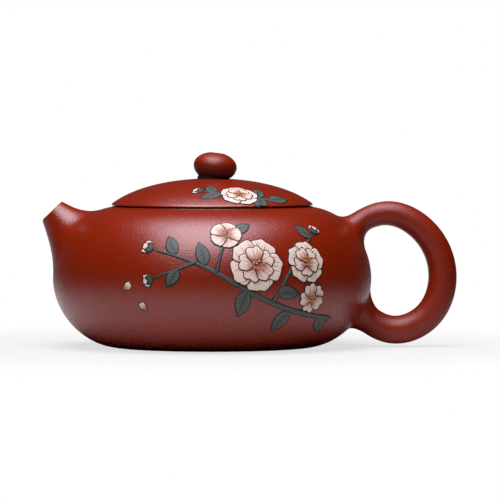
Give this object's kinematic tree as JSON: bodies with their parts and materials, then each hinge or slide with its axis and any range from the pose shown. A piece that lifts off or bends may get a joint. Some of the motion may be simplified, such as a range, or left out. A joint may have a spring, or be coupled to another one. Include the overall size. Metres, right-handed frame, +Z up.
{
  "type": "clay teapot",
  "caption": "Low round teapot of unglazed red clay with a short spout, an ear handle, a strainer dome inside and a domed lid with a ball knob that lifts straight off for filling.",
  "frame": {"origin": "on the pot's upright axis, in the plane of the flat foot ring it stands on", "axes": "+Z up, +X towards the handle, -X towards the spout, -Y towards the decorated front"},
  "size_m": [0.1453, 0.1116, 0.0684],
  "materials": {
    "red_clay": "satin"
  },
  "bodies": {
    "pot": {"base_disc": "red_clay", "body_wall": "red_clay", "shoulder_disc": "red_clay", "mouth_ring": "red_clay", "spout": "red_clay", "strainer": "red_clay", "handle": "red_clay"},
    "lid": {"lid_dome": "red_clay", "lid_flange": "red_clay", "knob": "red_clay"}
  },
  "joints": [
    {"name": "lid_lift", "type": "slide", "parent": "pot", "child": "lid", "axis": [0, 0, 1], "range_m": [0, 0.05]}
  ]
}
